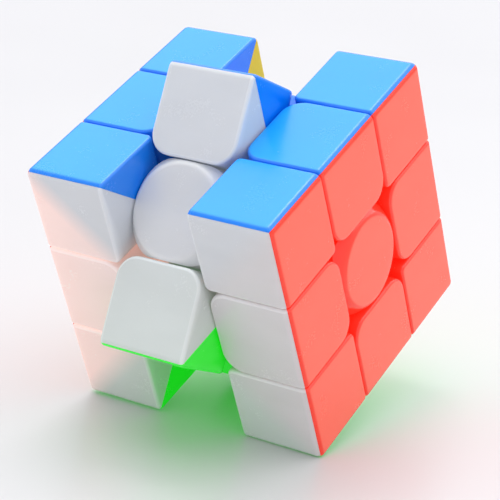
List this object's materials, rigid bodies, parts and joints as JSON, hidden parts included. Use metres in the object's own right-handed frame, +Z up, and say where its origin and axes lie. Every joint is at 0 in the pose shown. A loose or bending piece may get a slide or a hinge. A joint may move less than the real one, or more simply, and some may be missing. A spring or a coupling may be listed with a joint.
{
  "type": "twisty puzzle cube",
  "caption": "Stickerless three-layer twisty puzzle cube standing on its edges with the middle layer turned an eighth of a turn between the two outer layers.",
  "frame": {"origin": "centre of the core, where the six screw axes cross", "axes": "+X along the layers' turning axis towards the red face, +Z up as the cube stands, -Y towards the front"},
  "size_m": [0.056, 0.0724, 0.0724],
  "materials": {
    "blue_plastic": "bright blue moulded plastic, satin gloss",
    "white_plastic": "white moulded plastic, satin gloss",
    "red_plastic": "bright red moulded plastic, satin gloss",
    "green_plastic": "bright green moulded plastic, satin gloss",
    "yellow_plastic": "bright yellow moulded plastic, satin gloss",
    "orange_plastic": "bright orange moulded plastic, satin gloss",
    "core_plastic": "dark grey moulded plastic",
    "zinc_steel": "zinc-plated steel",
    "spring_steel": "drawn spring wire"
  },
  "bodies": {
    "core_and_middle_edges": {"centre_screws": "zinc_steel", "centre_spring_back": "spring_steel", "centre_spring_down": "spring_steel", "centre_spring_front": "spring_steel", "centre_spring_left": "spring_steel", "centre_spring_right": "spring_steel", "centre_spring_up": "spring_steel", "core": "core_plastic", "edge_down_back_green_half": "green_plastic", "edge_down_back_yellow_half": "yellow_plastic", "edge_down_front_green_half": "green_plastic", "edge_down_front_white_half": "white_plastic", "edge_up_back_blue_half": "blue_plastic", "edge_up_back_yellow_half": "yellow_plastic", "edge_up_front_blue_half": "blue_plastic", "edge_up_front_white_half": "white_plastic", "screw_washers": "zinc_steel"},
    "left_layer": {"corner_feet_left": "orange_plastic", "corner_shells_left_blue": "blue_plastic", "corner_shells_left_green": "green_plastic", "corner_shells_left_orange": "orange_plastic", "corner_shells_left_white": "white_plastic", "corner_shells_left_yellow": "yellow_plastic", "edge_back_left_orange_half": "orange_plastic", "edge_back_left_yellow_half": "yellow_plastic", "edge_down_left_green_half": "green_plastic", "edge_down_left_orange_half": "orange_plastic", "edge_front_left_orange_half": "orange_plastic", "edge_front_left_white_half": "white_plastic", "edge_up_left_blue_half": "blue_plastic", "edge_up_left_orange_half": "orange_plastic"},
    "right_layer": {"corner_feet_right": "red_plastic", "corner_shells_right_blue": "blue_plastic", "corner_shells_right_green": "green_plastic", "corner_shells_right_red": "red_plastic", "corner_shells_right_white": "white_plastic", "corner_shells_right_yellow": "yellow_plastic", "edge_back_right_red_half": "red_plastic", "edge_back_right_yellow_half": "yellow_plastic", "edge_down_right_green_half": "green_plastic", "edge_down_right_red_half": "red_plastic", "edge_front_right_red_half": "red_plastic", "edge_front_right_white_half": "white_plastic", "edge_up_right_blue_half": "blue_plastic", "edge_up_right_red_half": "red_plastic"},
    "centre_right": {"centre_body_right": "red_plastic", "centre_cap_right": "red_plastic"},
    "centre_left": {"centre_body_left": "orange_plastic", "centre_cap_left": "orange_plastic"},
    "centre_back": {"centre_body_back": "yellow_plastic", "centre_cap_back": "yellow_plastic"},
    "centre_front": {"centre_body_front": "white_plastic", "centre_cap_front": "white_plastic"},
    "centre_up": {"centre_body_up": "blue_plastic", "centre_cap_up": "blue_plastic"},
    "centre_down": {"centre_body_down": "green_plastic", "centre_cap_down": "green_plastic"}
  },
  "joints": [
    {"name": "left_layer_turn", "type": "hinge", "parent": "core_and_middle_edges", "child": "left_layer", "pos_m": [0, 0, 0], "axis": [-1, 0, 0], "continuous": true},
    {"name": "right_layer_turn", "type": "hinge", "parent": "core_and_middle_edges", "child": "right_layer", "pos_m": [0, 0, 0], "axis": [1, 0, 0], "continuous": true},
    {"name": "centre_right_lift", "type": "slide", "parent": "right_layer", "child": "centre_right", "axis": [1, 0, 0], "range_m": [0, 0.0008], "stiffness_N_per_m": 800, "deforming": ["centre_spring_right"]},
    {"name": "centre_left_lift", "type": "slide", "parent": "left_layer", "child": "centre_left", "axis": [-1, 0, 0], "range_m": [0, 0.0008], "stiffness_N_per_m": 800, "deforming": ["centre_spring_left"]},
    {"name": "centre_back_lift", "type": "slide", "parent": "core_and_middle_edges", "child": "centre_back", "axis": [0, 0.9212, -0.3891], "range_m": [0, 0.0008], "stiffness_N_per_m": 800, "deforming": ["centre_spring_back"]},
    {"name": "centre_front_lift", "type": "slide", "parent": "core_and_middle_edges", "child": "centre_front", "axis": [0, -0.9212, 0.3891], "range_m": [0, 0.0008], "stiffness_N_per_m": 800, "deforming": ["centre_spring_front"]},
    {"name": "centre_up_lift", "type": "slide", "parent": "core_and_middle_edges", "child": "centre_up", "axis": [0, 0.3891, 0.9212], "range_m": [0, 0.0008], "stiffness_N_per_m": 800, "deforming": ["centre_spring_up"]},
    {"name": "centre_down_lift", "type": "slide", "parent": "core_and_middle_edges", "child": "centre_down", "axis": [0, -0.3891, -0.9212], "range_m": [0, 0.0008], "stiffness_N_per_m": 800, "deforming": ["centre_spring_down"]}
  ]
}
